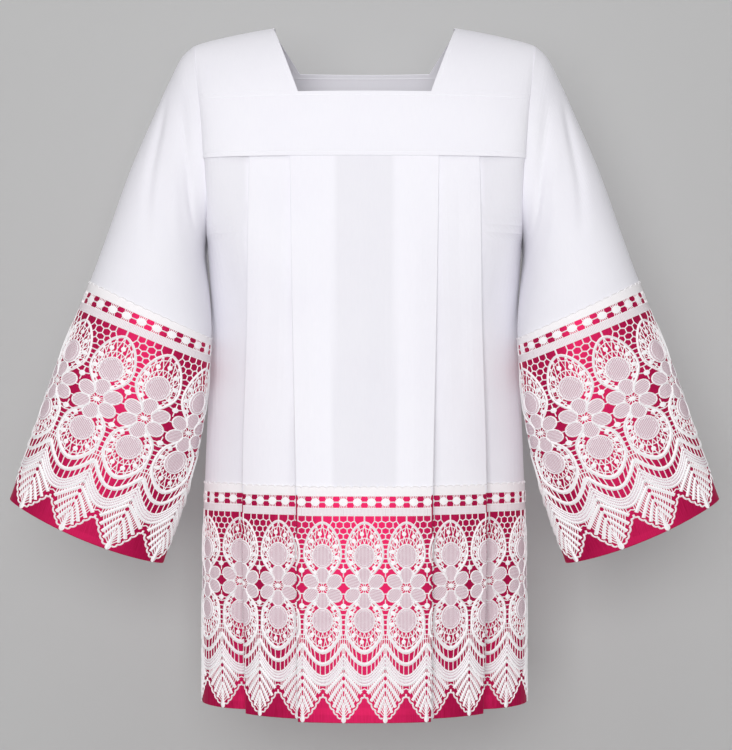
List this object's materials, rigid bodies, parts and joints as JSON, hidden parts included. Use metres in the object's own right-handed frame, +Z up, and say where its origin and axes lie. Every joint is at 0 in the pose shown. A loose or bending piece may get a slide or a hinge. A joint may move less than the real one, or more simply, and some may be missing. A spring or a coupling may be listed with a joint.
{
  "type": "surplice",
  "caption": "White worn surplice with a square neck, knife pleats under a banded yoke, wide bell sleeves, and deep medallion lace over crimson satin at hem and cuffs.",
  "frame": {"origin": "midway between the two points where the neck edges of the straps cross the tops of the wearer's shoulders", "axes": "+Z up, +X to the wearer's left, the front faces -Y"},
  "size_m": [0.9502, 0.2922, 0.9228],
  "materials": {
    "white_cloth": "matt plain weave",
    "satin": "satin sheen",
    "lace": "matt openwork"
  },
  "bodies": {
    "root": {"yoke_front": "white_cloth", "yoke_back": "white_cloth", "strap_left": "white_cloth", "strap_right": "white_cloth", "body_front": "white_cloth", "body_back": "white_cloth", "sleeve_left": "white_cloth", "sleeve_right": "white_cloth", "satin_front": "satin", "satin_back": "satin", "cuff_satin_left": "satin", "cuff_satin_right": "satin", "lace_front": "lace", "lace_back": "lace", "cuff_lace_left": "lace", "cuff_lace_right": "lace"}
  },
  "joints": []
}
